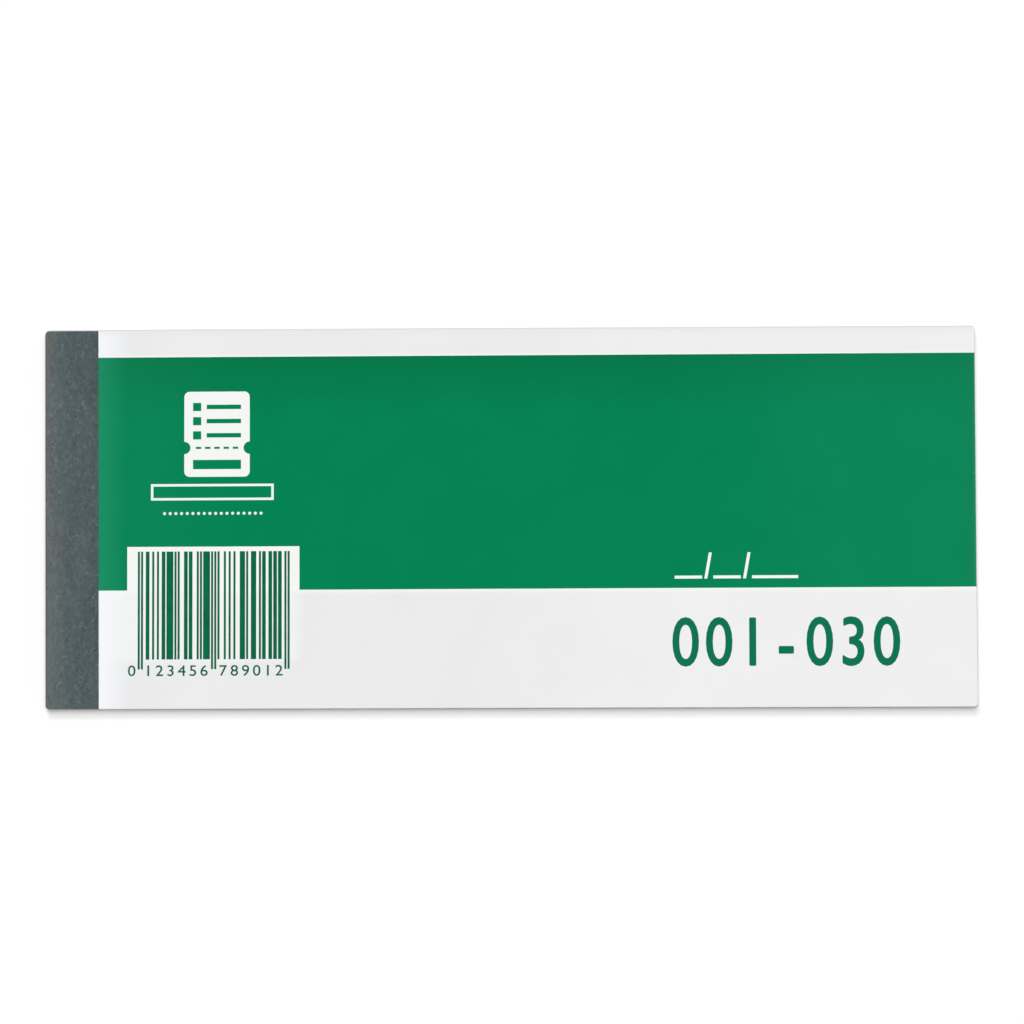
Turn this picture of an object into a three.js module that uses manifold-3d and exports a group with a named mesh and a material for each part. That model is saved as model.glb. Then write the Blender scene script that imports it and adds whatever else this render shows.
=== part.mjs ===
// A voucher book: thirty tear-off leaves between a printed card cover and a grey board back.
// All of it is stapled near one end, glued at the back edge and wrapped there in a paper tape.
// Units are millimetres. +X runs from the bound end to the free end, +Y across the book,
// and +Z up from the back face it lies on. The origin is under the middle of the book.

import * as THREE from "three";
import { mergeVertices } from "three/addons/utils/BufferGeometryUtils.js";
import Module from "manifold-3d";

const wasm = await Module();
wasm.setup();

// The trimmed book
const bookLength = 170;
const bookWidth = 69.5;
const boundCornerRadius = 0.8;
const freeCornerRadius = 0.6;

// Paper, card and board
const leafCount = 30;
const leafThickness = 0.09;
const frontCoverThickness = 0.25;
const backCoverThickness = 0.5;
const sheetGap = 0.01; // air between one sheet and the next, and between sheets and tape

// Binding tape and the glue behind the sheets' edges
const tapeThickness = 0.15;
const tapeWing = 9.8; // reach of each wing from the spine's outer face
const glueThickness = 0.45;

// Staples of flat wire, crown along the spine
const stapleInset = 5; // from the spine's outer face to the middle of the wire
const stapleSpacing = 36; // between the middles of the two staples
const stapleCrown = 12;
const stapleClinch = 4.5; // length of each leg that is folded under the back
const wireThickness = 0.45;
const wireWidth = 0.6;
const wireClearance = 0.05; // round the wire in the holes that it made

// Turning and tearing
const turningGap = 0.2; // from the bound strip of a sheet to the part that turns
const stubLength = 35; // from the tape's edge to the row of perforations
const perforationGap = 0.3;

// Fineness of the rounded corners
const arcSegments = 5;

// Places along the book
const spineX = -bookLength / 2;
const freeX = bookLength / 2;
const tapeEdgeX = spineX + tapeWing;
const glueX = spineX + tapeThickness + sheetGap;
const sheetX = glueX + glueThickness;
const turningX = tapeEdgeX + turningGap;
const perforationX = tapeEdgeX + stubLength;
const halfWidth = bookWidth / 2;

// Heights above the face that the book lies on
const leafPitch = leafThickness + sheetGap;
const recessZ = tapeThickness + sheetGap; // underside of the back cover where the tape sits in it
const leavesBottomZ = backCoverThickness + sheetGap;
const leavesTopZ = leavesBottomZ + leafCount * leafPitch - sheetGap;
const coverBottomZ = leavesTopZ + sheetGap;
const coverTopZ = coverBottomZ + frontCoverThickness;
const tapeTopZ = coverTopZ + sheetGap + tapeThickness;

// Colours and finishes
const tapePaper = { color: 0x576264, roughness: 0.9, metalness: 0 };
const greenCard = { color: 0x0a8457, roughness: 0.55, metalness: 0 };
const greyBoard = { color: 0x9b978d, roughness: 0.95, metalness: 0 };
const whitePaper = { color: 0xf1f1ee, roughness: 0.9, metalness: 0 };
const driedGlue = { color: 0xe6e0cf, roughness: 0.6, metalness: 0 };
const stapleWire = { color: 0xa9acb0, roughness: 0.35, metalness: 1 };

// Solid of a closed three.js geometry, for joining and cutting
function solidOf(geometry) {
  const bare = geometry.clone();
  bare.deleteAttribute("normal");
  bare.deleteAttribute("uv");
  const merged = mergeVertices(bare, 1e-5);
  return new wasm.Manifold(
    new wasm.Mesh({
      numProp: 3,
      vertProperties: merged.attributes.position.array,
      triVerts: new Uint32Array(merged.index.array),
    }),
  );
}

// Three.js geometry of a solid
function geometryOf(solid) {
  const mesh = solid.getMesh();
  const geometry = new THREE.BufferGeometry();
  geometry.setAttribute("position", new THREE.BufferAttribute(mesh.vertProperties, 3));
  geometry.setIndex(new THREE.BufferAttribute(mesh.triVerts, 1));
  geometry.computeVertexNormals();
  return geometry;
}

// Rectangle across the book's whole width, with its own corner radius at each end
function sheetOutline(x0, x1, radius0, radius1) {
  const outline = new THREE.Shape();
  outline.moveTo(x0 + radius0, -halfWidth);
  outline.lineTo(x1 - radius1, -halfWidth);
  if (radius1 > 0) outline.absarc(x1 - radius1, -halfWidth + radius1, radius1, -Math.PI / 2, 0);
  outline.lineTo(x1, halfWidth - radius1);
  if (radius1 > 0) outline.absarc(x1 - radius1, halfWidth - radius1, radius1, 0, Math.PI / 2);
  outline.lineTo(x0 + radius0, halfWidth);
  if (radius0 > 0) {
    outline.absarc(x0 + radius0, halfWidth - radius0, radius0, Math.PI / 2, Math.PI);
  }
  outline.lineTo(x0, -halfWidth + radius0);
  if (radius0 > 0) {
    outline.absarc(x0 + radius0, -halfWidth + radius0, radius0, Math.PI, Math.PI * 1.5);
  }
  return outline;
}

// Flat sheet between two heights, from an outline in the XY plane
function sheetGeometry(outline, z0, z1) {
  const options = { depth: z1 - z0, bevelEnabled: false, curveSegments: arcSegments };
  return new THREE.ExtrudeGeometry(outline, options).translate(0, 0, z0);
}

// Block all through the book's width, from an outline in the XZ plane
function acrossBook(outline) {
  const options = { depth: bookWidth, bevelEnabled: false, curveSegments: arcSegments };
  const geometry = new THREE.ExtrudeGeometry(outline, options);
  return geometry.rotateX(Math.PI / 2).translate(0, halfWidth, 0);
}

// The trimmed outline of the whole book, taller than the book: what is bound is cut to it
function trimmedBlock() {
  const outline = sheetOutline(spineX, freeX, boundCornerRadius, freeCornerRadius);
  return solidOf(sheetGeometry(outline, -tapeThickness, tapeTopZ + tapeThickness));
}

// Side view of what wraps the bound end: open at openX, rounded at the spine
function wrapOutline(backX, openX, z0, z1, radius) {
  const outline = new THREE.Shape();
  outline.moveTo(openX, z0);
  outline.lineTo(openX, z1);
  outline.lineTo(backX + radius, z1);
  outline.absarc(backX + radius, z1 - radius, radius, Math.PI / 2, Math.PI);
  outline.lineTo(backX, z0 + radius);
  outline.absarc(backX + radius, z0 + radius, radius, Math.PI, Math.PI * 1.5);
  return outline;
}

// Tape folded round the spine, with a wing on the cover and a wing on the back
function bindingTape() {
  const innerRadius = glueThickness;
  const outer = wrapOutline(spineX, tapeEdgeX, 0, tapeTopZ, innerRadius + tapeThickness);
  const inner = wrapOutline(
    spineX + tapeThickness,
    tapeEdgeX + tapeThickness,
    tapeThickness,
    tapeTopZ - tapeThickness,
    innerRadius,
  );
  const folded = solidOf(acrossBook(outer)).subtract(solidOf(acrossBook(inner)));
  return geometryOf(folded.intersect(trimmedBlock()));
}

// Film of dried glue that holds the sheets' back edges and rounds the fold of the tape
function spineGlue() {
  const radius = glueThickness - sheetGap;
  const film = wrapOutline(glueX, sheetX - sheetGap, recessZ, coverTopZ, radius);
  return geometryOf(solidOf(acrossBook(film)).intersect(trimmedBlock()));
}

// Side view of one staple along the spine, or with grow its hole: a U with legs folded inwards
function stapleOutline(grow) {
  const half = stapleCrown / 2 + grow;
  const thick = wireThickness + 2 * grow;
  const tip = half - stapleClinch - 2 * grow;
  const z0 = recessZ - grow;
  const z1 = coverTopZ + grow;
  const outline = new THREE.Shape();
  outline.moveTo(tip, z0);
  outline.lineTo(half - thick, z0);
  outline.absarc(half - thick, z0 + thick, thick, -Math.PI / 2, 0);
  outline.lineTo(half, z1 - thick);
  outline.absarc(half - thick, z1 - thick, thick, 0, Math.PI / 2);
  outline.lineTo(-half + thick, z1);
  outline.absarc(-half + thick, z1 - thick, thick, Math.PI / 2, Math.PI);
  outline.lineTo(-half, z0 + thick);
  outline.absarc(-half + thick, z0 + thick, thick, Math.PI, Math.PI * 1.5);
  outline.lineTo(-tip, z0);
  outline.lineTo(-tip, z0 + thick);
  outline.lineTo(-half + thick, z0 + thick);
  outline.lineTo(-half + thick, z1 - thick);
  outline.lineTo(half - thick, z1 - thick);
  outline.lineTo(half - thick, z0 + thick);
  outline.lineTo(tip, z0 + thick);
  return outline;
}

// Staple, or its hole, with its middle at y along the spine
function staple(y, grow) {
  const width = wireWidth + 2 * grow;
  const options = { depth: width, bevelEnabled: false, curveSegments: arcSegments };
  const geometry = new THREE.ExtrudeGeometry(stapleOutline(grow), options);
  geometry.rotateX(Math.PI / 2).rotateZ(Math.PI / 2);
  return geometry.translate(spineX + stapleInset - width / 2, y, 0);
}

// A bound sheet or stack of sheets: cut to the trimmed outline and holed by both staples
function boundSheet(solid) {
  let cut = solid.intersect(trimmedBlock());
  for (const y of stapleYs) cut = cut.subtract(solidOf(staple(y, wireClearance)));
  return geometryOf(cut);
}

// Back cover of grey board, thinner under the tape so that both lie flat
function backCover() {
  const board = sheetGeometry(sheetOutline(sheetX, freeX, 0, freeCornerRadius), 0, backCoverThickness);
  const recess = sheetGeometry(
    sheetOutline(sheetX - glueThickness, tapeEdgeX + sheetGap, 0, 0),
    -tapeThickness,
    recessZ,
  );
  return boundSheet(solidOf(board).subtract(solidOf(recess)));
}

// Margins of all the leaves, held fast under the tape
function leafMargins() {
  const stack = sheetOutline(sheetX, tapeEdgeX, 0, 0);
  return boundSheet(solidOf(sheetGeometry(stack, leavesBottomZ, leavesTopZ)));
}

// Strip of the front cover that stays fast under the tape
function frontCoverStrip() {
  const strip = sheetOutline(sheetX, tapeEdgeX, 0, 0);
  return boundSheet(solidOf(sheetGeometry(strip, coverBottomZ, coverTopZ)));
}

// The part of the front cover that opens
function frontCover() {
  const flap = sheetOutline(turningX, freeX, 0, freeCornerRadius);
  return sheetGeometry(flap, coverBottomZ, coverTopZ);
}

// Underside of a leaf, counted from 1 at the top of the book
function leafZ(number) {
  return leavesBottomZ + (leafCount - number) * leafPitch;
}

// The part of a leaf that turns, from the tape's edge to endX
function turningLeaf(number, endX, endRadius) {
  const outline = sheetOutline(turningX, endX, 0, endRadius);
  return sheetGeometry(outline, leafZ(number), leafZ(number) + leafThickness);
}

// The first leaf's voucher, past its row of perforations
function voucher(number) {
  const outline = sheetOutline(perforationX + perforationGap, freeX, 0, freeCornerRadius);
  return sheetGeometry(outline, leafZ(number), leafZ(number) + leafThickness);
}

// A named sub-part with its own material
function part(name, geometry, finish) {
  const mesh = new THREE.Mesh(geometry, new THREE.MeshStandardMaterial(finish));
  mesh.name = name;
  return mesh;
}

const stapleYs = [stapleSpacing / 2, -stapleSpacing / 2];

const binding = new THREE.Group();
binding.add(part("binding_tape", bindingTape(), tapePaper));
binding.add(part("spine_glue", spineGlue(), driedGlue));
binding.add(part("staple_upper", staple(stapleYs[0], 0), stapleWire));
binding.add(part("staple_lower", staple(stapleYs[1], 0), stapleWire));

const covers = new THREE.Group();
covers.add(part("back_cover", backCover(), greyBoard));
covers.add(part("front_cover_strip", frontCoverStrip(), greenCard));
covers.add(part("front_cover", frontCover(), greenCard));

const leaves = new THREE.Group();
leaves.add(part("leaf_margins", leafMargins(), whitePaper));
leaves.add(part("stub_01", turningLeaf(1, perforationX, 0), whitePaper));
leaves.add(part("voucher_01", voucher(1), whitePaper));
for (let number = 2; number <= leafCount; number++) {
  const name = `leaf_${String(number).padStart(2, "0")}`;
  leaves.add(part(name, turningLeaf(number, freeX, freeCornerRadius), whitePaper));
}

const voucherBook = new THREE.Group();
voucherBook.add(binding, covers, leaves);

export default voucherBook;
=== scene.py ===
# %% [markdown]
# # A voucher book, finished in Blender
# A voucher book is thirty printed leaves between a card cover and a grey board. Near one end everything is
# stapled, and there the spine is wrapped in a strip of fibrous binding paper. The CAD frame holds the real
# sizes and the joints, and this file gives each piece the shape and finish that the eye meets.

# %% Load the frame
import math
import random

import bpy
import numpy as np
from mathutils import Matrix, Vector, geometry, noise


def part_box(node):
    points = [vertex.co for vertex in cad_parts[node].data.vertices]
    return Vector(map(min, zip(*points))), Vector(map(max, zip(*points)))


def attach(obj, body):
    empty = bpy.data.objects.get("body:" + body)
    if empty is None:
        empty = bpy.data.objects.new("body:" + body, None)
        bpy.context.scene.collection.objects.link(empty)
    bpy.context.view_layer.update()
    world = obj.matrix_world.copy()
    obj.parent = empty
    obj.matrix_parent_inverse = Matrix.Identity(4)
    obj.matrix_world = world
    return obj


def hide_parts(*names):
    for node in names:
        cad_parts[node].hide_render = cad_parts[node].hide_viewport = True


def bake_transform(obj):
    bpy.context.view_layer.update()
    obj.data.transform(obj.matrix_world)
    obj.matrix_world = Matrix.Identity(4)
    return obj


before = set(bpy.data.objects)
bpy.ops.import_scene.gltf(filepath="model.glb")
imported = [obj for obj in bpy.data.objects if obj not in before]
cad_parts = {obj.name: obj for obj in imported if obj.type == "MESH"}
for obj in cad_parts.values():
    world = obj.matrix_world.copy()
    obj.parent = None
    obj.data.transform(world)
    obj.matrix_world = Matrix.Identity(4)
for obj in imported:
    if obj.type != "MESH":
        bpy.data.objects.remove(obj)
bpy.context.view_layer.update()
bpy.ops.object.select_all(action="DESELECT")

# %% [markdown]
# ## The sizes that everything shares
# Paper work is drawn in millimetres, as a printer would, and turned to metres when a sheet is laid in its
# place. Every place comes from the frame's own boxes, so the sheets lie exactly where the CAD has them.

# %% Read the sizes from the frame
mm = 0.001


def box_mm(node):
    low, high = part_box(node)
    return low / mm, high / mm


tape_low, tape_high = box_mm("binding_tape")
card_low, card_high = box_mm("front_cover")
board_low, board_high = box_mm("back_cover")
stub_low, stub_high = box_mm("stub_01")
voucher_low, voucher_high = box_mm("voucher_01")
staple_boxes = [box_mm("staple_upper"), box_mm("staple_lower")]
wire_low, wire_high = staple_boxes[0]

spine_x = tape_low.x
crease_x = tape_high.x
bound_x = box_mm("front_cover_strip")[0].x
free_x = card_high.x
half_width = card_high.y
perforation_x = (stub_high.x + voucher_low.x) / 2
card_top = card_high.z
board_top = board_high.z
tape_top = tape_high.z
leaf_thickness = stub_high.z - stub_low.z
leaf_count = 30
leaf_numbers = range(1, leaf_count + 1)
print("book:", round(free_x - spine_x, 2), "by", round(2 * half_width, 2), "by", round(tape_top, 2), "mm")

# %% [markdown]
# ## The camera
# The photograph looks almost straight down on the cover, from far away and from a little to the right and
# below, so that the lower edge of the stack and a hair of its right edge show. A long lens from two metres
# keeps the outline as square as it is there.

# %% Set up the camera
camera_data = bpy.data.cameras.new("camera")
camera_data.lens = 400
camera_data.sensor_width = 36
camera_data.clip_end = 20
camera = bpy.data.objects.new("camera", camera_data)
bpy.context.scene.collection.objects.link(camera)
camera.location = (0.12168, -0.14783, 2.0695)
camera.rotation_euler = [math.radians(turn) for turn in (4.1155, 3.3572, 0.0117)]
bpy.context.scene.camera = camera
print("camera", round(camera.location.length, 2), "m away")

# %% [markdown]
# ## Small helpers
# Operators act on whatever is selected, so one helper selects what is meant and nothing else. A material
# is a net of nodes, and one helper adds a node with its settings, its values and its links. Colours are
# written as on a screen, in sRGB, and Blender calculates in linear light, so one function turns them.

# %% Selecting and editing
def only(*chosen):
    bpy.ops.object.select_all(action="DESELECT")
    for piece in chosen:
        piece.select_set(True)
    bpy.context.view_layer.objects.active = chosen[0]


def edit_all(piece):
    only(piece)
    bpy.ops.object.mode_set(mode="EDIT")
    bpy.ops.mesh.select_all(action="SELECT")


def done():
    bpy.ops.object.mode_set(mode="OBJECT")


def clamped(value):
    return min(max(value, 0), 1)


def open_edges(piece):
    """Edges that don't have a face on both sides. A closed piece has none."""
    sides = {}
    for face in piece.data.polygons:
        for key in face.edge_keys:
            sides[key] = sides.get(key, 0) + 1
    return sum(count != 2 for count in sides.values())


def link(thing):
    bpy.context.scene.collection.objects.link(thing)


# %% Adding nodes
def linear(code):
    """The linear colour of an sRGB hex value such as "EDEDEE"."""
    shares = [int(code[i:i + 2], 16) / 255 for i in (0, 2, 4)]
    return [c / 12.92 if c <= 0.04045 else ((c + 0.055) / 1.055) ** 2.4 for c in shares] + [1]


def add(tree, kind, inputs=None, **settings):
    """A new node of this kind. A value in inputs is either a number or the socket that feeds it."""
    made = tree.nodes.new(kind)
    for name, value in settings.items():
        setattr(made, name, value)
    for socket, value in (inputs or {}).items():
        if isinstance(value, bpy.types.NodeSocket):
            tree.links.new(value, made.inputs[socket])
        else:
            made.inputs[socket].default_value = value
    return made


def new_material(name, roughness, specular):
    material = bpy.data.materials.new(name)
    material.use_nodes = True
    surface = material.node_tree.nodes["Principled BSDF"]
    surface.inputs["Roughness"].default_value = roughness
    surface.inputs["Specular IOR Level"].default_value = specular
    return material, material.node_tree


print("sRGB 808080 in linear light:", round(linear("808080")[0], 3))

# %% [markdown]
# ## Table, sky and lamps
# The photograph is a packshot: a white table, a soft light overhead, a second one that leans to the top of
# the picture, and a little fill from all round. Both are sun lamps, nearly 20 degrees wide, so their light is
# even over the whole table. Together they reach from straight above to 30 degrees off, which makes the
# shadow short at the book's sides and a little longer at the spine, and lets it fade outwards from its lower
# edge. Only what the camera sees directly gets a little light of its own, which makes the table white and
# leaves it the shadow.

# %% Paint the table
table_lift = 0.231


def seen_directly(tree):
    """1 for rays of the camera, and for those that metal or glass sends on, otherwise 0."""
    rays = add(tree, "ShaderNodeLightPath").outputs
    both = add(tree, "ShaderNodeMath", {0: rays["Is Camera Ray"], 1: rays["Is Glossy Ray"]})
    total = {0: both.outputs[0], 1: rays["Is Transmission Ray"]}
    return add(tree, "ShaderNodeMath", total, use_clamp=True).outputs[0]


def white_table():
    material, tree = new_material("white_table", 0.9, 0.0)
    surface = tree.nodes["Principled BSDF"]
    place = add(tree, "ShaderNodeTexCoord").outputs["Object"]
    clouds = add(tree, "ShaderNodeTexNoise", {"Vector": place, "Scale": 16.0}).outputs["Fac"]
    tone = {0: clouds, 6: linear("E6E6E6"), 7: linear("E8E8E8")}
    paint = add(tree, "ShaderNodeMix", tone, data_type="RGBA")
    tree.links.new(paint.outputs[2], surface.inputs["Base Color"])
    lift = add(tree, "ShaderNodeMath", {0: seen_directly(tree), 1: table_lift}, operation="MULTIPLY")
    surface.inputs["Emission Color"].default_value = linear("FFFFFF")
    tree.links.new(lift.outputs[0], surface.inputs["Emission Strength"])
    return material


bpy.ops.mesh.primitive_plane_add(size=8)
table = bpy.context.active_object
table.name = "table"
table.data.materials.append(white_table())
print("table:", round(table.dimensions.x, 1), "m wide")

# %% Light the sky
sky_strength = 0.2


def white_sky():
    world = bpy.data.worlds.new("studio")
    world.use_nodes = True
    tree = world.node_tree
    limits = {"Value": seen_directly(tree), "To Min": sky_strength, "To Max": 1.0}
    strength = add(tree, "ShaderNodeMapRange", limits)
    tree.links.new(strength.outputs[0], tree.nodes["Background"].inputs["Strength"])
    tree.nodes["Background"].inputs["Color"].default_value = linear("FFFFFF")
    return world


bpy.context.scene.world = white_sky()
bpy.context.scene.view_settings.view_transform = "Standard"
print("sky on a level white sheet:", sky_strength)

# %% Hang the lamps
overhead_level, leaning_level = 0.46, 0.32
lamp_height = 1.6


def lamp_above(name, width, lean, aside, level):
    """Sun lamp that leans to the top and to the right of the picture. All angles are in degrees.

    Level is what it adds to the light on a level white sheet. Where a sun lamp stands makes no difference.
    """
    data = bpy.data.lights.new(name, "SUN")
    data.angle = math.radians(width)
    data.energy = level * math.pi / (math.cos(math.radians(lean)) * math.cos(math.radians(aside)))
    lamp = bpy.data.objects.new(name, data)
    lamp.location = (0, 0, lamp_height)
    lamp.rotation_euler = (-math.radians(lean), math.radians(aside), 0)
    link(lamp)


lamp_above("overhead_lamp", width=18, lean=4, aside=6, level=overhead_level)
lamp_above("leaning_lamp", width=19, lean=21, aside=-3, level=leaning_level)
print("light on a level white sheet:", round(overhead_level + leaning_level + sky_strength, 2))

# %% [markdown]
# ## How paper gets its look
# Paper, card, board and ink differ from a flat colour by stains: clouds, fibres, flecks and rubbed edges.
# Each stain is a pattern and a colour that is laid on where the pattern is high. A pattern has lumps of a
# given size or runs along the book, and one helper lays each stain over what is there already.

# %% Patterns and stains
def lumps(tree, size, detail=2.0, seed=0.0):
    """A pattern on the piece's own coordinates. Its lumps have one size in mm, or one for each axis."""
    place = add(tree, "ShaderNodeTexCoord").outputs["Object"]
    scale = [1 / (length * mm) for length in np.broadcast_to(size, 3)]
    scaled = add(tree, "ShaderNodeMapping", {"Vector": place, "Location": (seed, seed, seed), "Scale": scale})
    found = add(tree, "ShaderNodeTexNoise", {"Vector": scaled.outputs[0], "Scale": 1.0, "Detail": detail})
    return found.outputs["Fac"]


def along(tree, axis, start, end):
    """0 to 1 along the book's X or Y, between two places in millimetres."""
    place = add(tree, "ShaderNodeTexCoord").outputs["Object"]
    way = add(tree, "ShaderNodeSeparateXYZ", {"Vector": place}).outputs[axis]
    limits = {"Value": way, "From Min": start * mm, "From Max": end * mm}
    return add(tree, "ShaderNodeMapRange", limits).outputs[0]


def overlap(tree, one, other):
    """A pattern that is high only where both of these are."""
    return add(tree, "ShaderNodeMath", {0: one, 1: other}, operation="MULTIPLY").outputs[0]


def stained(tree, under, pattern, start, full, share, colour):
    """The colour under, with another laid over it as the pattern goes from start to full."""
    if isinstance(under, str):
        under = linear(under)
    limits = {"Value": pattern, "From Min": start, "From Max": full, "To Min": 0.0, "To Max": share}
    amount = add(tree, "ShaderNodeMapRange", limits).outputs[0]
    return add(tree, "ShaderNodeMix", {0: amount, 6: under, 7: linear(colour)}, data_type="RGBA").outputs[2]


def finished(material, colour, relief, depth):
    """The material with this colour, and with the relief of a pattern that is depth millimetres deep."""
    tree = material.node_tree
    surface = tree.nodes["Principled BSDF"]
    tree.links.new(colour, surface.inputs["Base Color"])
    dent = add(tree, "ShaderNodeBump", {"Height": relief, "Distance": depth * mm, "Strength": 1.0})
    tree.links.new(dent.outputs["Normal"], surface.inputs["Normal"])
    print(material.name, "has", len(tree.nodes), "nodes")
    return material


# %% [markdown]
# ## Binding paper
# The spine strip is uncoated, dyed in the pulp and made with long fibres, so that it doesn't tear at the
# fold. To the eye that is a matt slate grey with faint waves along the spine, clouded by short fibres that
# lie the same way. Long ones show as thin curls, pale with a dark side, among pale and dark flecks. The fold
# is painted paler and warmer, a painted highlight where the rounded fold catches the light, and this pale
# band is wider in the lower half. The real fibres are thinner than a picture's pixel, so the curls are drawn
# a pixel wide and the clouds 0.4 to 1 mm long. A curl is a contour line of a soft pattern, which is seen
# only where a second pattern is high.

# %% Draw the long fibres
line_edge, line_middle = 0.019, 0.005
patch_edge, patch_middle = 0.5, 0.56


def fibres(tree, level):
    """1 on thin curls, a millimetre or two long, and 0 elsewhere. Levels close together lie side by side."""
    field = lumps(tree, (1.9, 2.8, 1.9), detail=1.0, seed=12.9)
    off_line = add(tree, "ShaderNodeMath", {0: field, 1: level}, operation="SUBTRACT")
    apart = add(tree, "ShaderNodeMath", {0: off_line.outputs[0]}, operation="ABSOLUTE").outputs[0]
    near = {"Value": apart, "From Min": line_edge, "From Max": line_middle}
    patches = lumps(tree, (1.1, 1.6, 1.1), detail=1.0, seed=5.8)
    high = {"Value": patches, "From Min": patch_edge, "From Max": patch_middle}
    line, patch = (add(tree, "ShaderNodeMapRange", limits).outputs[0] for limits in (near, high))
    return overlap(tree, line, patch)


# %% Make the binding paper
def binding_paper():
    material, tree = new_material("slate_binding_paper", 0.9, 0.1)
    pulp = lumps(tree, (0.6, 1.0, 0.6), detail=3.0, seed=3.1)
    flecks = lumps(tree, (0.36, 0.52, 0.36), detail=1.0, seed=12.9)
    pits = lumps(tree, (0.5, 0.75, 0.5), detail=1.0, seed=7.7)
    dyed = stained(tree, "465254", along(tree, "X", spine_x + 2, crease_x), 1, 0, 1.0, "525E61")
    # Paler and warmer at the fold: painted highlight where the rounded fold catches the light.
    painted_highlight = stained(tree, dyed, along(tree, "X", spine_x, spine_x + 2.5), 1, 0, 1.0, "686B69")
    # The pale band is wider in the lower half of the spine.
    lower_fold_area = overlap(tree, along(tree, "Y", 4, -2), along(tree, "X", spine_x + 4.2, spine_x + 2.4))
    paler_below = stained(tree, painted_highlight, lower_fold_area, 0, 1, 0.4, "686B69")
    waved = stained(tree, paler_below, lumps(tree, (1.8, 12, 1.8)), 0.3, 0.7, 0.3, "667174")
    cloudy = stained(tree, waved, pulp, 0.5, 0.75, 0.24, "7C8788")
    sunk = stained(tree, cloudy, pulp, 0.47, 0.25, 0.3, "39454A")
    pitted = stained(tree, sunk, pits, 0.62, 0.76, 0.35, "2D383B")
    flecked = stained(tree, pitted, flecks, 0.64, 0.8, 0.25, "9AA4A2")
    lined = stained(tree, flecked, fibres(tree, 0.46), 0, 1, 0.3, "8E9998")
    shaded = stained(tree, lined, fibres(tree, 0.43), 0, 1, 0.36, "313D40")
    return finished(material, shaded, pulp, 0.03)


slate_paper = binding_paper()

# %% [markdown]
# ## Printed card
# The cover is white card, coated on the outside only, with one green ink laid on by offset. Coated card is
# smooth and faintly mottled. It is whitest in and next to the ink, and beside the tape, where a painted
# highlight stands for the light that the card catches as it swells up there. It is painted greyer towards its
# upper edge, and both long edges are greyest right at the cut: painted shade on the upper edge and on the
# lower side of the stack. The ink film follows the card, soaks in unevenly, and lies thickest along the
# band's upper side. It is a little paler over the 25 mm next to the tape, with a painted highlight where the
# card swells up beside it, and it is rubbed a little paler along its free edge. Small marks hold more ink, so
# they are darker, and the fine bars of the code are darkest. Card and ink are nearly matt. The press put the
# print a hair low and askew.

# %% Place the print
print_low, print_askew = -0.14, 0.0011
band_top, band_bottom = 29.85, -12.85
field_left, field_right, field_top = -69.91, -38.39, -4.88
code_bottom = -25.5
print("band:", round(band_top - band_bottom, 2), "mm wide")


# %% Make the card
def coated_card():
    material, tree = new_material("white_coated_card", 0.55, 0.1)
    mottled = stained(tree, "EBEBEC", lumps(tree, 14), 0.3, 0.7, 1.0, "EEEEEF")
    paler = stained(tree, mottled, along(tree, "X", 5, 30), 0, 1, 0.35, "F6F6F8")
    # Whiter within 6 mm of the tape: painted highlight where the card swells up beside it.
    swell_highlight = stained(tree, paler, along(tree, "X", crease_x, crease_x + 6), 1, 0, 1.0, "F8FAFD")
    # Greyer towards the upper edge and greyest at the cut: painted shade on the upper edge.
    darkened = stained(tree, swell_highlight, along(tree, "Y", half_width - 1.6, half_width - 0.5), 0, 1, 0.4, "E6E6E6")
    shaded_upper_edge = stained(tree, darkened, along(tree, "Y", half_width - 0.35, half_width), 0, 1, 0.7, "CDCED0")
    # Grey at the lower cut edge: painted shade on the lower side of the stack.
    shaded_lower_edge = stained(tree, shaded_upper_edge, along(tree, "Y", 0.18 - half_width, -half_width), 0, 1, 0.5, "C0C1C3")
    over_band = along(tree, "Y", band_top + 0.4, band_top - 0.1)
    from_below = along(tree, "Y", band_bottom - 1.0, band_bottom - 0.2)
    in_band = overlap(tree, over_band, from_below)
    above_code_end = along(tree, "Y", code_bottom - 1, code_bottom)
    in_margin = overlap(tree, above_code_end, along(tree, "Y", band_bottom + 1, band_bottom))
    left_part = along(tree, "X", field_right + 1, field_right - 1)
    in_code = overlap(tree, left_part, in_margin)
    inked = stained(tree, shaded_lower_edge, in_band, 0, 1, 0.8, "F8FAF9")
    unrubbed = stained(tree, inked, in_code, 0, 1, 0.5, "F8FAF9")
    return finished(material, unrubbed, lumps(tree, 0.5), 0.004)


card_white = coated_card()


# %% Make the green ink
def offset_green():
    material, tree = new_material("green_offset_ink", 0.6, 0.01)
    uneven = stained(tree, "018254", lumps(tree, 9), 0.3, 0.7, 1.0, "038557")
    specked = stained(tree, uneven, lumps(tree, 0.3, seed=5.3), 0.66, 0.8, 0.35, "159A6C")
    thick = stained(tree, specked, along(tree, "Y", band_top - 11, band_top), 0, 1, 1.0, "057748")
    # A little paler over the 25 mm next to the tape.
    toned = stained(tree, thick, along(tree, "X", crease_x, crease_x + 25), 1, 0, 0.2, "209067")
    # Paler within 5 mm of the tape: painted highlight where the card swells up beside it.
    painted_highlight = stained(tree, toned, along(tree, "X", crease_x, crease_x + 5), 1, 0, 0.5, "2B9872")
    faded = stained(tree, painted_highlight, along(tree, "X", free_x - 55, free_x - 25), 0, 1, 0.22, "199167")
    darkened = stained(tree, faded, along(tree, "X", free_x - 3, free_x - 1), 0, 1, 0.5, "187F56")
    worn = stained(tree, darkened, along(tree, "X", free_x - 0.7, free_x), 0, 1, 0.3, "3A9C77")
    return finished(material, worn, lumps(tree, 0.5), 0.004)


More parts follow.
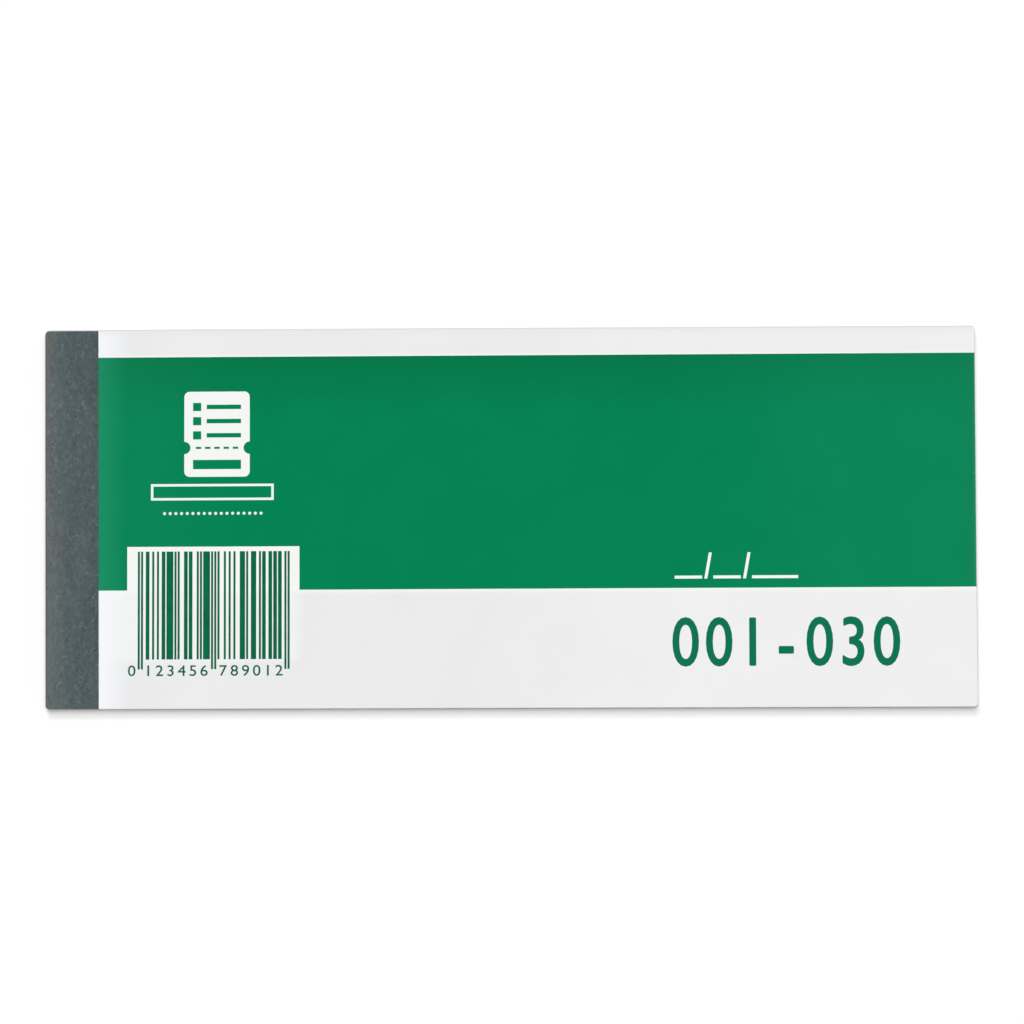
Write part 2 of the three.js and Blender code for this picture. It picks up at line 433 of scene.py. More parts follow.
def dense_green():
    material, tree = new_material("green_offset_ink_in_small_marks", 0.6, 0.01)
    uneven = stained(tree, "0B6243", lumps(tree, (0.8, 2.5, 0.8)), 0.3, 0.7, 1.0, "0E6F4D")
    thinner = stained(tree, uneven, along(tree, "X", field_right, field_right + 20), 0, 1, 0.9, "0E7553")
    return finished(material, thinner, lumps(tree, 0.5), 0.004)


card_green, small_green = offset_green(), dense_green()

# %% [markdown]
# ## Leaf paper, its inks and the board
# The leaves are uncoated writing paper of about 75 g/m2: white, matt, with short fibres that show as a
# faint cloudiness. Their lower and free edges are painted a little darker, painted shade on the sides of the
# stack that the camera sees. Their lines are printed in a thin green, and the numbers are struck in black.
# The back is grey board, pulped from waste paper, so it carries flecks of every shade.

# %% Make the paper and the inks
def writing_paper():
    material, tree = new_material("uncoated_writing_paper", 0.9, 0.1)
    clouds = lumps(tree, 2.2, detail=4.0)
    cloudy = stained(tree, "F0F0EE", clouds, 0.3, 0.7, 1.0, "F5F5F3")
    # Darker at the lower edges: painted shade on the lower side of the stack.
    leaf_lower_shade = stained(tree, cloudy, along(tree, "Y", 0.2 - half_width, 0.1 - half_width), 0, 1, 0.6, "CFCFCB")
    # Darker at the free edges: painted shade on the free side of the stack.
    toned = stained(tree, leaf_lower_shade, along(tree, "X", free_x - 0.4, free_x - 0.3), 0, 1, 0.5, "CFCFCB")
    return finished(material, toned, lumps(tree, 0.3, detail=3.0), 0.012)


def soaked_ink(name, patch, start, colour, thin):
    """Ink that the paper takes in unevenly, so it is thinner in patches of this size."""
    material, tree = new_material(name, 0.8, 0.1)
    soaked = lumps(tree, patch)
    return finished(material, stained(tree, colour, soaked, start, 0.7, 1.0, thin), soaked, 0.002)


leaf_white = writing_paper()
leaf_green = soaked_ink("green_line_ink", 0.6, 0.3, "1F8C63", "37987A")
struck_black = soaked_ink("black_numbering_ink", 0.4, 0.35, "26262A", "4A4A50")


# %% Make the board
def grey_board():
    material, tree = new_material("grey_waste_paper_board", 0.95, 0.1)
    dark_bits = lumps(tree, (0.5, 0.35, 0.4), detail=1.0, seed=2.2)
    pale_bits = lumps(tree, (0.4, 0.9, 0.4), detail=1.0, seed=9.4)
    pulp = stained(tree, "9B968C", lumps(tree, 7, detail=4.0), 0.3, 0.7, 1.0, "A49F95")
    specked = stained(tree, pulp, dark_bits, 0.66, 0.78, 0.7, "5A5750")
    flecked = stained(tree, specked, pale_bits, 0.66, 0.78, 0.6, "C9C5BB")
    return finished(material, flecked, lumps(tree, (0.35, 0.6, 0.35), detail=3.0), 0.03)


waste_board = grey_board()

# %% [markdown]
# ## Glue and wire
# White binding glue dries to a cream film. The staples are flat galvanised wire: bright, finely drawn
# along their length and a little dull from the zinc.

# %% Make the glue and the wire
def binding_glue():
    material, tree = new_material("dried_binding_glue", 0.45, 0.5)
    drips = lumps(tree, (0.8, 2.5, 0.8))
    return finished(material, stained(tree, "DDD5BF", drips, 0.3, 0.7, 1.0, "EFEADB"), drips, 0.06)


def galvanised_wire():
    material, tree = new_material("galvanised_staple_wire", 0.35, 0.5)
    tree.nodes["Principled BSDF"].inputs["Metallic"].default_value = 1.0
    drawn = lumps(tree, (0.06, 4, 0.06))
    return finished(material, stained(tree, "A3A7AB", drawn, 0.3, 0.7, 1.0, "C6C9CC"), drawn, 0.004)


cream_glue, bright_wire = binding_glue(), galvanised_wire()
print("materials:", len(bpy.data.materials))

# %% [markdown]
# ## Drawing flat shapes
# Print is flat areas with exact borders. Each area is a closed outline of points in millimetres. A flat 2D
# curve fills such outlines and leaves out those that lie inside another one, so a ring or a figure with a
# hole needs nothing special. The fill makes some triangles with no width between corners in one line, and
# those are evened out.

# %% Outlines
def arc(x, y, radius, start, end, steps=8):
    turns = [math.radians(start + (end - start) * i / steps) for i in range(steps + 1)]
    return [(x + radius * math.cos(t), y + radius * math.sin(t)) for t in turns]


def rectangle(x0, y0, x1, y1):
    return [(x0, y0), (x1, y0), (x1, y1), (x0, y1)]


def dot(x, y, radius):
    return arc(x, y, radius, 0, 360, 12)[:-1]


def outlined(x0, y0, x1, y1, line):
    """Frame with lines of this width: its outer outline and the hole in it."""
    return [rectangle(x0, y0, x1, y1), rectangle(x0 + line, y0 + line, x1 - line, y1 - line)]


def slash(x, y0, y1, line, lean):
    return [(x, y0), (x + line, y0), (x + line + lean, y1), (x + lean, y1)]


# %% Filling outlines
def filled(name, outlines):
    """Flat mesh between the outlines, in millimetres, facing up."""
    curve = bpy.data.curves.new(name, "CURVE")
    curve.dimensions = "2D"
    curve.fill_mode = "BOTH"
    for outline in outlines:
        spline = curve.splines.new("POLY")
        spline.points.add(len(outline) - 1)
        for point, (x, y) in zip(spline.points, outline):
            point.co = (x, y, 0, 1)
        spline.use_cyclic_u = True
    piece = bpy.data.objects.new(name, curve)
    link(piece)
    only(piece)
    bpy.ops.object.convert(target="MESH")
    piece = bpy.context.active_object
    edit_all(piece)
    bpy.ops.mesh.beautify_fill(angle_limit=math.pi)
    if sum(face.normal.z * face.area for face in piece.data.polygons) < 0:
        bpy.ops.mesh.flip_normals()
    done()
    return piece


# %% Thickening a sheet
def thickened(piece, thickness):
    """Gives a sheet its thickness on the side away from where it faces."""
    only(piece)
    bpy.ops.object.modifier_add(type="SOLIDIFY")
    wall = piece.modifiers[-1]
    wall.thickness, wall.offset = thickness, -1
    bpy.ops.object.modifier_apply(modifier=wall.name)


# %% [markdown]
# ## Figures for the numbers
# Plain figures come from Blender's own typeface: each is typed once, turned to curves, and kept as
# outlines of unit height that any number can be set from. Points that nearly meet are left out, because a
# bolder outline would cross itself there.

# %% Turn type into outlines
points_between_knots = 5
least_step = 0.004


def typed_outlines(text):
    bpy.ops.object.text_add()
    typed = bpy.context.active_object
    typed.data.body = text
    only(typed)
    bpy.ops.object.convert(target="CURVE")
    typed = bpy.context.active_object
    outlines = []
    for spline in typed.data.splines:
        knots = list(spline.bezier_points)
        points = []
        for here, there in zip(knots, knots[1:] + knots[:1]):
            ends = (here.co, here.handle_right, there.handle_left, there.co)
            points += [(p.x, p.y) for p in geometry.interpolate_bezier(*ends, points_between_knots + 1)[:-1]]
        outlines.append([p for i, p in enumerate(points) if math.dist(p, points[i - 1]) > least_step])
    bpy.data.objects.remove(typed)
    return outlines


# %% Keep the figures as outlines
def reach(outlines, axis):
    values = [point[axis] for outline in outlines for point in outline]
    return min(values), max(values)


figure_height = reach(typed_outlines("1"), 1)[1]
figures = {}
for figure in "0123456789-":
    drawn = typed_outlines(figure)
    middle = sum(reach(drawn, 0)) / 2
    figures[figure] = [[((x - middle) / figure_height, y / figure_height) for x, y in o] for o in drawn]
print("figures:", len(figures), "width of a nought to its height:", round(reach(figures["0"], 0)[1] * 2, 2))


# %% Set a number
def bolder(outline, by):
    """The outline moved to its right by this much: outer ones grow and holes shrink."""
    moved = []
    for before, here, after in zip(outline[-1:] + outline, outline, outline[1:] + outline[:1]):
        way = Vector((after[0] - before[0], after[1] - before[1])).normalized()
        moved.append((here[0] + way.y * by, here[1] - way.x * by))
    return moved


def set_number(text, x0, y0, height, pitch, stretch=1.0, bold=0.0):
    """Outlines of a number, its first figure in the middle of the cell that starts at x0."""
    outlines = []
    for i, figure in enumerate(text):
        middle = x0 + (i + 0.5) * pitch
        for outline in figures[figure]:
            placed = [(middle + x * height * stretch, y0 + y * height) for x, y in outline]
            outlines.append(bolder(placed, bold) if bold else placed)
    return outlines


print("outlines of all ten figures:", len(set_number("0123456789", 0, 0, 1, 1)))

# %% [markdown]
# ## One printed sheet
# Ink has no thickness to speak of, so the print is areas of the sheet's own top face. The bare paper and
# the inked areas are filled separately from the same outlines, joined, and merged along their borders. The
# sheet is then cut along a grid, fine where it bends and coarse elsewhere, and Solidify gives it its
# thickness downwards. Its underside and edges are bare paper.

# %% Where a sheet is cut
bend_length = 2.6
fold_cuts = list(np.arange(crease_x - 0.2, crease_x + bend_length + 0.5, 0.2))
swell_cuts = list(np.arange(crease_x + bend_length + 1.0, crease_x + 6, 0.6))
coarse_step = 5.3
far_cuts = list(np.arange(crease_x + 8, free_x, coarse_step))
length_cuts = fold_cuts + swell_cuts + far_cuts
width_cuts = list(np.arange(-half_width + 4.9, half_width, coarse_step))


def cut_along(piece, places, direction):
    for place in places:
        edit_all(piece)
        at = [place * share for share in direction]
        bpy.ops.mesh.bisect(plane_co=at, plane_no=direction, threshold=1e-4)
        done()


print("cuts:", len(length_cuts), "across and", len(width_cuts), "along the book")


# %% Make a printed sheet
def printed_sheet(name, bare, inked, shared, thickness, paper, ink):
    """Sheet between the bare outlines, with ink between the inked ones. Those shared part the two."""
    sheet = filled(name, bare + shared)
    film = filled(name + "_film", inked + shared)
    for piece in (sheet, film):
        piece.data.materials.append(paper)
        piece.data.materials.append(ink)
    for face in film.data.polygons:
        face.material_index = 1
    only(sheet, film)
    bpy.ops.object.join()
    edit_all(sheet)
    bpy.ops.mesh.remove_doubles(threshold=1e-3)
    done()
    across = [vertex.co.x for vertex in sheet.data.vertices]
    cut_along(sheet, [x for x in length_cuts if min(across) + 0.1 < x < max(across) - 0.1], (1, 0, 0))
    cut_along(sheet, width_cuts, (0, 1, 0))
    thickened(sheet, thickness)
    for face in sheet.data.polygons:
        if face.normal.z < 0.5:
            face.material_index = 0
    bpy.ops.object.shade_smooth_by_angle(angle=math.radians(40))
    printed_side = sum(face.area for face in sheet.data.polygons if face.normal.z > 0.5)
    hidden_side = sum(face.area for face in sheet.data.polygons if face.normal.z < -0.5)
    print(name, "faces:", len(sheet.data.polygons), "open edges:", open_edges(sheet))
    print("  area above and below:", round(printed_side, 1), round(hidden_side, 1), "mm2, length:",
          round(max(across) - min(across), 2), "mm")
    return sheet


# %% [markdown]
# ## How the stack lies
# Under the tape the stack is pressed flat by the staples. Just beyond, over about 5 mm, it swells by less
# than a tenth of a millimetre. The rise grows with the height in the stack, so sheets never cross. Leaves
# also shift a hair against each other towards their free end, and the guillotine cut that end slightly off
# square, as the photograph shows. Its blade also drifts a tenth of a millimetre inwards on its way down.

# %% Lay a sheet in its place
swell_height = 0.08
swell_length = 5.0
wave_height = 0.03
wave_length, wave_width = 45, 30
off_square = 0.22
blade_lean = 0.1
drift_start, drift_length = 26, 6


def rise(x, y, z):
    share = (z - board_top) / (card_top - board_top)
    away = clamped((x - crease_x) / swell_length)
    swell = swell_height * (1 - (1 - away) ** 2)
    wave = wave_height * away * noise.noise(Vector((x / wave_length, y / wave_width, 0.5)))
    return share * (swell + wave)


def trimmed(y, z):
    """The place of a point near a long edge, where lower sheets are cut a hair narrower."""
    near_edge = clamped((abs(y) - drift_start) / drift_length)
    return y - math.copysign(blade_lean * near_edge * (1 - z / tape_top), y)


def lay(piece, top, shift=(0, 0)):
    """Puts a flat sheet, drawn in millimetres with its top at 0, at its height, and turns it to metres."""
    for vertex in piece.data.vertices:
        x, y, z = vertex.co
        share = max((x - crease_x) / (free_x - crease_x), 0)
        across = x + share * (shift[0] - off_square * y / half_width)
        y = trimmed(y, top) + share * shift[1]
        vertex.co = (across * mm, y * mm, (top + z + rise(x, y, top)) * mm)
    piece.data.update()


print("the cover rises by", round(rise(0, 0, card_top), 3), "mm in the middle")

# %% Outlines of the sheets and of the holes that the staples make
corner_radius = 0.6
wire_clearance = 0.05
wire_flatness = 0.75
corner_low = arc(free_x - corner_radius, -half_width + corner_radius, corner_radius, -90, 0)
corner_high = arc(free_x - corner_radius, half_width - corner_radius, corner_radius, 0, 90)
whole_leaf = [(bound_x, -half_width)] + corner_low + corner_high + [(bound_x, half_width)]


def crown_slots():
    """Slots that the staples' crowns lie in."""
    grow = wire_clearance
    return [rectangle(a.x - grow, a.y - grow, b.x + grow, b.y + grow) for a, b in staple_boxes]


def leg_holes():
    """Holes of the four staple legs. The wire is three quarters as thick as it is wide."""
    leg = (wire_high.x - wire_low.x) * wire_flatness + wire_clearance
    holes = []
    for x0, y0, x1, y1 in [(*slot[0], *slot[2]) for slot in crown_slots()]:
        holes.append(rectangle(x0, y0, x1, y0 + leg + wire_clearance))
        holes.append(rectangle(x0, y1 - leg - wire_clearance, x1, y1))
    return holes


print("slots:", len(crown_slots()), "holes:", len(leg_holes()))

# %% [markdown]
# ## The print on the cover
# A green band runs from the tape to the free edge, under a narrow white margin. It is notched for the white
# field of the bar code. White marks in the band are bare card: an emblem of a torn ticket, a box and a
# dotted line to write on, and a date field. The numbers of the first and last voucher are below them.

# %% Draw the band
band_start = crease_x - 2.5
band = [(band_start, band_bottom), (field_left, band_bottom), (field_left, field_top)]
band += [(field_right, field_top), (field_right, band_bottom), (free_x, band_bottom)]
band += [(free_x, band_top), (band_start, band_top)]
bare_card = [(bound_x, -half_width)] + corner_low + band[5::-1] + band[:5:-1] + corner_high
bare_card += [(bound_x, half_width)]
print("corners of the band:", len(band))


# %% Draw the white marks
def ticket_emblem(x, y, width, height):
    """Upright ticket with a notch in each side, a torn line between them, and three ticked lines."""
    x0, x1, y0, y1 = x - width / 2, x + width / 2, y - height / 2, y + height / 2
    corner, notch, tear = 1.0, 1.15, y0 + height * 0.34
    body = arc(x0 + corner, y0 + corner, corner, 180, 270) + arc(x1 - corner, y0 + corner, corner, 270, 360)
    body += arc(x1, tear, notch, 270, 90) + arc(x1 - corner, y1 - corner, corner, 0, 90)
    body += arc(x0 + corner, y1 - corner, corner, 90, 180) + arc(x0, tear, notch, 90, -90)
    dashes = np.arange(x - 3.9, x + 3.5, 1.7)
    inside = [rectangle(left, tear - 0.2, left + 1.0, tear + 0.2) for left in dashes]
    for line_y in (y1 - 2.8, y1 - 5.4, y1 - 8.0):
        inside.append(rectangle(x0 + 1.6, line_y - 0.75, x0 + 3.1, line_y + 0.75))
        inside.append(rectangle(x0 + 4.1, line_y - 0.4, x1 - 1.6, line_y + 0.4))
    inside.append(rectangle(x0 + 1.6, y0 + 1.4, x1 - 1.6, y0 + 3.1))
    return [body] + inside


def date_field(x, y, height):
    """Three write-on rules with slashes between them."""
    rule, day, year, gap = 0.55, 5.0, 8.4, 2.05
    marks = []
    for start, length in ((0, day), (day + gap, day), (2 * (day + gap), year)):
        marks.append(rectangle(x + start, y, x + start + length, y + rule))
    for start in (day, 2 * day + gap):
        marks.append(slash(x + start + 0.4, y, y + height, rule, 0.85))
    return marks


white_marks = ticket_emblem(-53.5, 15.7, 12.0, 15.6)
white_marks += outlined(-65.6, 3.6, -43.1, 6.6, 0.45)
white_marks += [dot(x, 1.2, 0.28) for x in np.arange(-63.1, -44.9, 1.04)]
white_marks += date_field(30.1, -11.15, 4.75)
print("white marks:", len(white_marks))

# %% [markdown]
# ## The bar code
# A thirteen-figure bar code is 95 modules wide. Each figure is seven modules, its pattern fixed by the
# standard, and pairs of guard bars stand at both ends and in the middle. Ink spreads a little, so each bar
# is wider than its modules. The figures here simply count, so the code stands for nothing.

# %% Draw the bars
code_figures = "0123456789012"
figure_codes = "0001101 0011001 0010011 0111101 0100011 0110001 0101111 0111011 0110111 0001011".split()
code_left, code_top, guard_bottom = -67.92, -5.75, -27.3
module = 27.7 / 95
ink_gain = 0.05


def code_modules(digits):
    """The modules as text, 1 for a bar. With a leading 0 all left figures use the first pattern set."""
    left = "".join(figure_codes[int(d)] for d in digits[1:7])
    swap = str.maketrans("01", "10")
    right = "".join(figure_codes[int(d)].translate(swap) for d in digits[7:])
    return "101" + left + "01010" + right + "101"


def code_bars(digits):
    guards = set(range(3)) | set(range(45, 50)) | set(range(92, 95))
    bars, start = [], None
    for i, mark in enumerate(code_modules(digits) + "0"):
        if mark == "1" and start is None:
            start = i
        if mark == "0" and start is not None:
            low = guard_bottom if start in guards else code_bottom
            x0, x1 = code_left + start * module - ink_gain, code_left + i * module + ink_gain
            bars.append(rectangle(x0, low, x1, code_top))
            start = None
    return bars


bars = code_bars(code_figures)
print("bars:", len(bars), "module", round(module, 3), "mm")

# %% Set the numbers on the cover
code_size = dict(height=1.9, pitch=7 * module, stretch=1.1, bold=0.025)
code_line = -28.5
green_marks = bars + set_number(code_figures[0], code_left - 7.4 * module, code_line, **code_size)
green_marks += set_number(code_figures[1:7], code_left + 3 * module, code_line, **code_size)
green_marks += set_number(code_figures[7:], code_left + 50 * module, code_line, **code_size)
range_size = dict(height=8.6, pitch=6.1, stretch=0.83, bold=0.12)
green_marks += set_number(f"001-{leaf_count:03d}", 29.0, -27.0, **range_size)
print("green marks:", len(green_marks))

# %% [markdown]
# ## The cover
# One card from the spine to the free edge. Its strip under the tape is fast and the rest opens, so the
# sheet bends smoothly over a few millimetres at the tape's edge, as creased card does. It could be two
# pieces with a hinge, but a crease would show between them. The crowns of the staples lie in slots in it.
# No press feeds a card quite square, so all printed points are moved a hair within the card's edges. The
# move fades out towards the slots and the edges, which stay where they are.

# %% Model the cover
card_thickness = card_high.z - card_low.z
card_finish = (card_thickness, card_white, card_green)
marks = white_marks + green_marks
cover = printed_sheet("printed_cover", [bare_card] + crown_slots(), [band], marks, *card_finish)
cover.data.materials.append(small_green)
for face in cover.data.polygons:
    x, y, z = face.center
    in_field = field_left < x < field_right and y < field_top
    if face.material_index == 1 and (in_field or y < band_bottom):
        face.material_index = 2
print("faces in small marks:", sum(face.material_index == 2 for face in cover.data.polygons))

# %% Move the print and lay the cover
slot_border, slot_fade, edge_fade = 0.1, 1.5, 3

for vertex in cover.data.vertices:
    x, y, z = vertex.co
    from_slots = clamped((x - wire_high.x - slot_border) / slot_fade)
    from_edge = clamped((half_width - corner_radius - abs(y)) / edge_fade)
    vertex.co.y += (print_low + print_askew * x) * from_slots * from_edge
cover.data.update()
turned_over = sum(face.normal.z < 0 for face in cover.data.polygons if face.center.z > -0.01)
print("faces turned over by the move:", turned_over)
lay(cover, card_top)
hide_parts("front_cover", "front_cover_strip")
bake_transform(cover)

# %% [markdown]
# ## The leaves
# Each leaf is a stub and a voucher, joined along a row of slots that a perforating rule cut through the
# paper. The slots are real here. Both halves carry the same plain form: a box for the number, write-on
# rules, tick boxes and a box for a sum. The leaf is modelled once and copied for each place in the stack.

# %% The row of perforations
slot_length, tie_length, slot_width = 1.1, 0.45, 0.3
slot_pitch = slot_length + tie_length


def slot_starts():
    count = int((2 * half_width - tie_length) / slot_pitch)
    first = -(count * slot_pitch - tie_length) / 2
    return [first + i * slot_pitch for i in range(count)]


def perforations():
    x0, x1 = perforation_x - slot_width / 2, perforation_x + slot_width / 2
    return [rectangle(x0, y, x1, y + slot_length) for y in slot_starts()]


def torn_edge(side):
    """Edge along the row of slots, from the lower end up: side is 1 for a stub and -1 for a voucher."""
    deep = perforation_x - side * slot_width / 2
    out = perforation_x - side * 0.01
    points = [(out, -half_width)]
    for y in slot_starts():
        points += [(out, y), (deep, y), (deep, y + slot_length), (out, y + slot_length)]
    return points + [(out, half_width)]


print("slots in a row:", len(perforations()))

# %% Draw the form
line = 0.22
number_box_low, number_box_high = 22.0, 29.0
number_box_length = 30.0
form_edge = 6.0


def rules(x0, x1, top, spacing, count):
    return [rectangle(x0, top - i * spacing, x1, top - i * spacing + line) for i in range(count)]


def stub_form():
    x0, x1 = crease_x + 4, perforation_x - 4
    marks = outlined(x0, number_box_low, x1, number_box_high, line)
    return marks + rules(x0, x1, 14, 8, 5) + outlined(x0 + 8, -29, x1, -23, line)


def voucher_form():
    x0, x1 = perforation_x + 5, free_x - form_edge
    marks = [rectangle(x0, 25.5, x0 + 58, number_box_high)]
    marks += outlined(x1 - number_box_length, number_box_low, x1, number_box_high, line)
    marks += rules(x0, x1, 14, 8, 3) + rules(x0, x0 + 62, -10, 8, 2)
    for left in (x0, x0 + 21, x0 + 42):
        marks += outlined(left, -29, left + 3.6, -25.4, line)
        marks.append(rectangle(left + 5.4, -29, left + 17, -29 + line))
    return marks + outlined(x1 - 42, -29, x1, -10, 0.4)


print("marks on a leaf:", len(stub_form()) + len(voucher_form()))

# %% Model a whole leaf, the first stub and the first voucher
leaf_finish = (leaf_thickness, leaf_white, leaf_green)
leaf_holes = leg_holes() + perforations()
form = stub_form() + voucher_form()
leaf_pattern = printed_sheet("leaf_pattern", [whole_leaf] + leaf_holes, [], form, *leaf_finish)

stub_sheet = [(bound_x, half_width), (bound_x, -half_width)] + torn_edge(1)
stub = printed_sheet("stub_leaf_01", [stub_sheet] + leg_holes(), [], stub_form(), *leaf_finish)

voucher_sheet = corner_low + corner_high + torn_edge(-1)[::-1]
voucher = printed_sheet("voucher_leaf_01", [voucher_sheet], [], voucher_form(), *leaf_finish)

# %% [markdown]
# ## Stacking the leaves
# The copies go down one below the other at the frame's own heights. Guillotined stacks are never quite
# flush, so each leaf slips a few hundredths of a millimetre, from a seeded draw. Each leaf bends at the
# tape's edge as the cover does. The first voucher is a piece of its own, because it tears off.

# %% Copy and lay the leaves
most_slip = 0.07


def slip():
    return random.uniform(-most_slip, most_slip)


random.seed(30)
slips = [(slip(), slip()) for _ in leaf_numbers]


def leaf_copy(number):
    piece = leaf_pattern.copy()
    piece.data = leaf_pattern.data.copy()
    piece.name = f"paper_leaf_{number:02d}"
    link(piece)
    return piece


def leaf_node(number):
    return "stub_01" if number == 1 else f"leaf_{number:02d}"


for number in leaf_numbers:
    piece = stub if number == 1 else leaf_copy(number)
    lay(piece, box_mm(leaf_node(number))[1].z, slips[number - 1])
    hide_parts(leaf_node(number))
    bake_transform(piece)

lay(voucher, voucher_high.z, slips[0])
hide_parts("leaf_margins")
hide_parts("voucher_01")
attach(voucher, "voucher_01")
bpy.data.objects.remove(leaf_pattern)
print("leaves laid:", len(leaf_numbers))

# %% [markdown]
# ## Numbering
# A numbering machine strikes the same number on the stub and on the voucher. Each number is a film of ink,
# four thousandths of a millimetre thick, on the finished sheet.

# %% Strike the numbers
film_thickness = 0.004
film_gap = 0.001
number_size = dict(height=4.2, pitch=4.0, stretch=0.85)
half_number = 1.5 * number_size["pitch"]
stub_number_x = (crease_x + perforation_x) / 2 - half_number
voucher_number_x = free_x - form_edge - number_box_length / 2 - half_number
number_y = (number_box_low + number_box_high - number_size["height"] + line) / 2


def strike(name, number, starts, node, body):
    outlines = []
    for start in starts:
        outlines += set_number(f"{number:03d}", start, number_y, **number_size)
    piece = filled(name, outlines)
    piece.data.materials.append(struck_black)
    thickened(piece, film_thickness)
    lay(piece, box_mm(node)[1].z, slips[number - 1])
    for vertex in piece.data.vertices:
        vertex.co.z += (film_thickness + film_gap) * mm
    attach(piece, body)


for number in leaf_numbers:
    places = [stub_number_x] if number == 1 else [stub_number_x, voucher_number_x]
    strike(f"number_{number:02d}", number, places, leaf_node(number), f"leaf_{number:02d}")
strike("number_01_voucher", 1, [voucher_number_x], "voucher_01", "voucher_01")
print("numbers struck:", len(leaf_numbers) + 1)

# %% [markdown]
# ## The binding strip
# The strip is a flat band of paper that is glued down on the front and folded round the spine. It is
# modelled in that order: a fine grid is the front wing, Spin makes each fold from the edge of what is
# there, and Extrude makes the wall between the folds and the wing on the back. Solidify then gives the
# paper its thickness inwards. A plain box would have sharper folds than paper makes.

# %% Lay out the front wing
strip_thickness = 0.15
fold_radius = 0.6
fold_x = spine_x + fold_radius
wing_length = crease_x - fold_x
wing_columns, wing_rows = 28, 170

bpy.ops.mesh.primitive_grid_add(x_subdivisions=wing_columns, y_subdivisions=wing_rows, size=1)
strip = bpy.context.active_object
strip.name = "binding_strip"
edit_all(strip)
bpy.ops.transform.resize(value=(wing_length, 2 * half_width, 1), center_override=(0, 0, 0))
bpy.ops.transform.translate(value=((fold_x + crease_x) / 2, 0, tape_top))
done()
print("front wing:", round(wing_length, 2), "mm, faces:", len(strip.data.polygons))

# %% Fold it round the spine
wall_rows, fold_steps = 8, 6
wall_step = (tape_top - 2 * fold_radius) / wall_rows
wing_step = wing_length / wing_columns

for edge in strip.data.edges:
    edge.select = all(abs(strip.data.vertices[i].co.x - fold_x) < 1e-3 for i in edge.vertices)
for face in strip.data.polygons:
    face.select = False
for vertex in strip.data.vertices:
    vertex.select = abs(vertex.co.x - fold_x) < 1e-3
bpy.ops.object.mode_set(mode="EDIT")
quarter = dict(steps=fold_steps, angle=math.pi / 2, axis=(0, 1, 0))
bpy.ops.mesh.spin(center=(fold_x, 0, tape_top - fold_radius), **quarter)
for _ in range(wall_rows):
    bpy.ops.mesh.extrude_region_move(TRANSFORM_OT_translate={"value": (0, 0, -wall_step)})
bpy.ops.mesh.spin(center=(fold_x, 0, fold_radius), **quarter)
for _ in range(wing_columns):
    bpy.ops.mesh.extrude_region_move(TRANSFORM_OT_translate={"value": (wing_step, 0, 0)})
bpy.ops.mesh.select_all(action="SELECT")
bpy.ops.mesh.remove_doubles(threshold=1e-4)
bpy.ops.mesh.normals_make_consistent(inside=False)
done()
heights = [vertex.co.z for vertex in strip.data.vertices]
print("strip from", round(min(heights), 2), "to", round(max(heights), 2), "mm high")

# %% [markdown]
# ## What handling does to the strip
# The wire of the staples lifts the paper a little, by the crowns on the front and by the folded legs on the
# back. The strip's corners at the spine are rounded, it is cut a hair short of the sheets at the upper end
# and lies a hair askew, as in the photograph, and it isn't perfectly even anywhere. These are small moves of
# the points.

# %% The wire under the strip
wire_x = (wire_low.x + wire_high.x) / 2
front_lift, back_lift = 0.04, 0.03
ridge_width, ridge_end, leg_gap = 0.9, 1.0, 1.5


def hump(distance, reach_out):
    """1 in the middle, falling smoothly to 0 at reach_out."""
    share = min(abs(distance) / reach_out, 1)
    return (1 + math.cos(math.pi * share)) / 2


def wire_relief(x, y, front):
    """How far the wire lifts the strip."""
    relief = 0
    for low, high in staple_boxes:
        middle, half = (low.y + high.y) / 2, (high.y - low.y) / 2
        beyond = max(abs(y - middle) - half, 0)
        if not front:
            beyond = max(beyond, leg_gap - abs(y - middle))
        relief = max(relief, hump(x - wire_x, ridge_width) * hump(beyond, ridge_end))
    return relief * (front_lift if front else back_lift)


print("the wire lifts the strip by", front_lift, "mm in front and", back_lift, "mm at the back")

# %% Trim, lift and finish the strip
end_radius = 0.8
upper_short = 0.22
strip_askew = 0.13
unevenness = 0.01
bump_width, bump_length = 2.5, 4

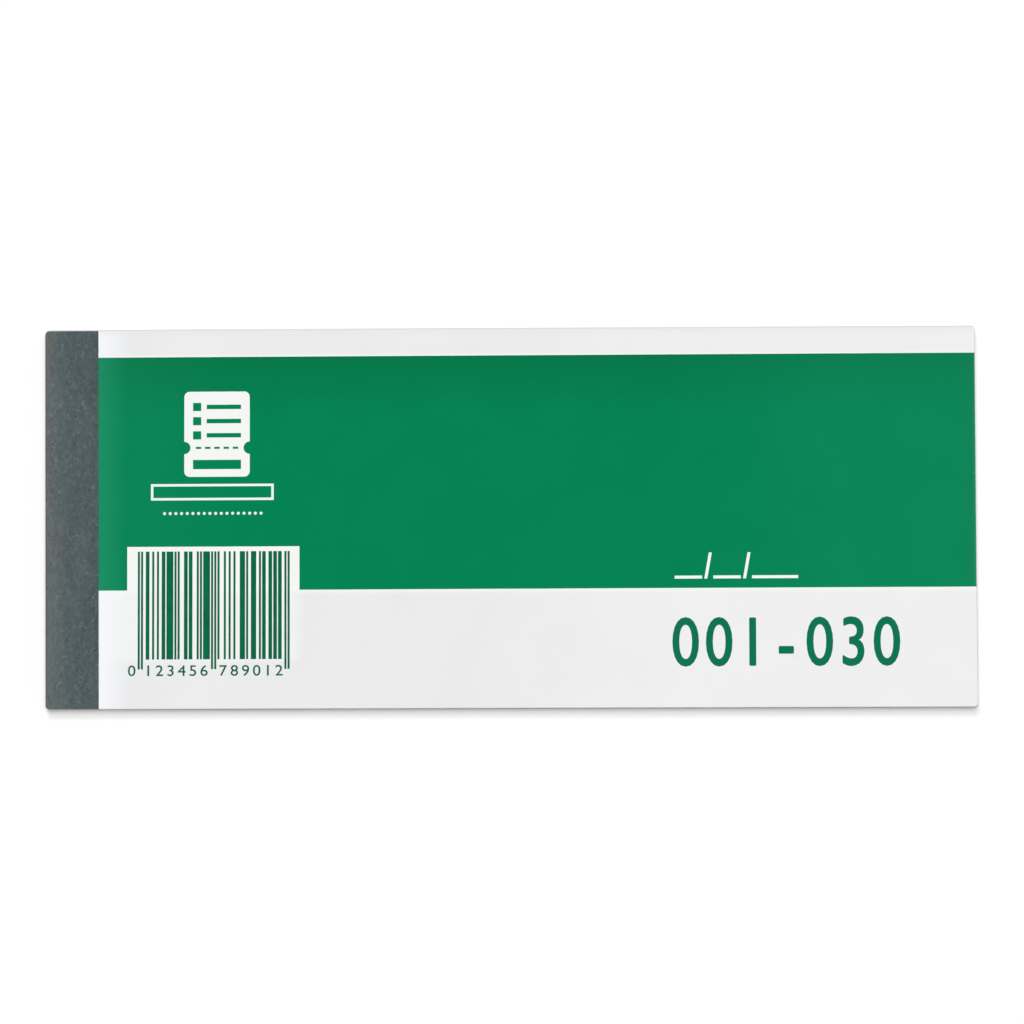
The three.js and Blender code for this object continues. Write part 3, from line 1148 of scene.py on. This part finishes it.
for vertex in strip.data.vertices:
    x, y, z = vertex.co
    inset = max(spine_x + end_radius - x, 0)
    corner = end_radius - math.sqrt(max(end_radius ** 2 - inset ** 2, 0))
    y = trimmed(y * (1 - (corner + upper_short / 2) / half_width) - upper_short / 2, z)
    uneven = unevenness * noise.noise(Vector((x / bump_width, y / bump_length, z / bump_width)))
    if z > tape_top - 1e-3:
        z += wire_relief(x, y, True) + uneven
    elif z < 1e-3:
        z += wire_relief(x, y, False) + abs(uneven)
    vertex.co = ((x - strip_askew * y / half_width) * mm, y * mm, z * mm)
strip.data.update()
thickened(strip, strip_thickness * mm)
bpy.ops.object.shade_smooth_by_angle(angle=math.radians(50))
strip.data.materials.append(slate_paper)
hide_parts("binding_tape")
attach(strip, "bound_spine")
print("strip faces:", len(strip.data.polygons), "open edges:", open_edges(strip))

# %% [markdown]
# ## The back board
# The board is cut in one go with the leaves, so it has their outline. Under the strip it is pressed thinner,
# which lets the strip lie flush with it, and the blade leaves its edges a little soft. It is a filled outline
# that Solidify thickens, with its lower face raised under the strip and its edges bevelled.

# %% Model the back board
board_thickness = board_high.z - board_low.z
press_depth = strip_thickness + 0.01
board_edge = 0.05

board = filled("back_board", [whole_leaf] + leg_holes())
cut_along(board, [crease_x, crease_x + board_edge] + far_cuts[1:], (1, 0, 0))
cut_along(board, width_cuts, (0, 1, 0))
thickened(board, board_thickness)
for vertex in board.data.vertices:
    if vertex.co.x < crease_x + 0.01 and vertex.co.z < -board_thickness / 2:
        vertex.co.z += press_depth
only(board)
bpy.ops.object.modifier_add(type="BEVEL")
bevel = board.modifiers[-1]
bevel.width, bevel.segments, bevel.limit_method = board_edge, 2, "ANGLE"
bpy.ops.object.modifier_apply(modifier=bevel.name)
bpy.ops.object.shade_smooth_by_angle(angle=math.radians(40))
lay(board, board_top)
board.data.materials.append(waste_board)
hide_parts("back_cover")
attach(board, "bound_spine")
print("board faces:", len(board.data.polygons), "open edges:", open_edges(board))

# %% [markdown]
# ## What stays from the CAD
# The glue and the staples already have their final shapes, so only their finish is missing. A CAD node keeps
# its mesh and gets the material in its slots.

# %% Finish the glue and the staples
finishes = {"spine_glue": cream_glue, "staple_upper": bright_wire, "staple_lower": bright_wire}
for name, material in finishes.items():
    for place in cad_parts[name].material_slots:
        place.material = material
print("finished CAD nodes:", sorted(finishes))

# %% [markdown]
# ## Finish
# The scene is brought up to date.

# %% Bring the scene up to date
bpy.context.view_layer.update()
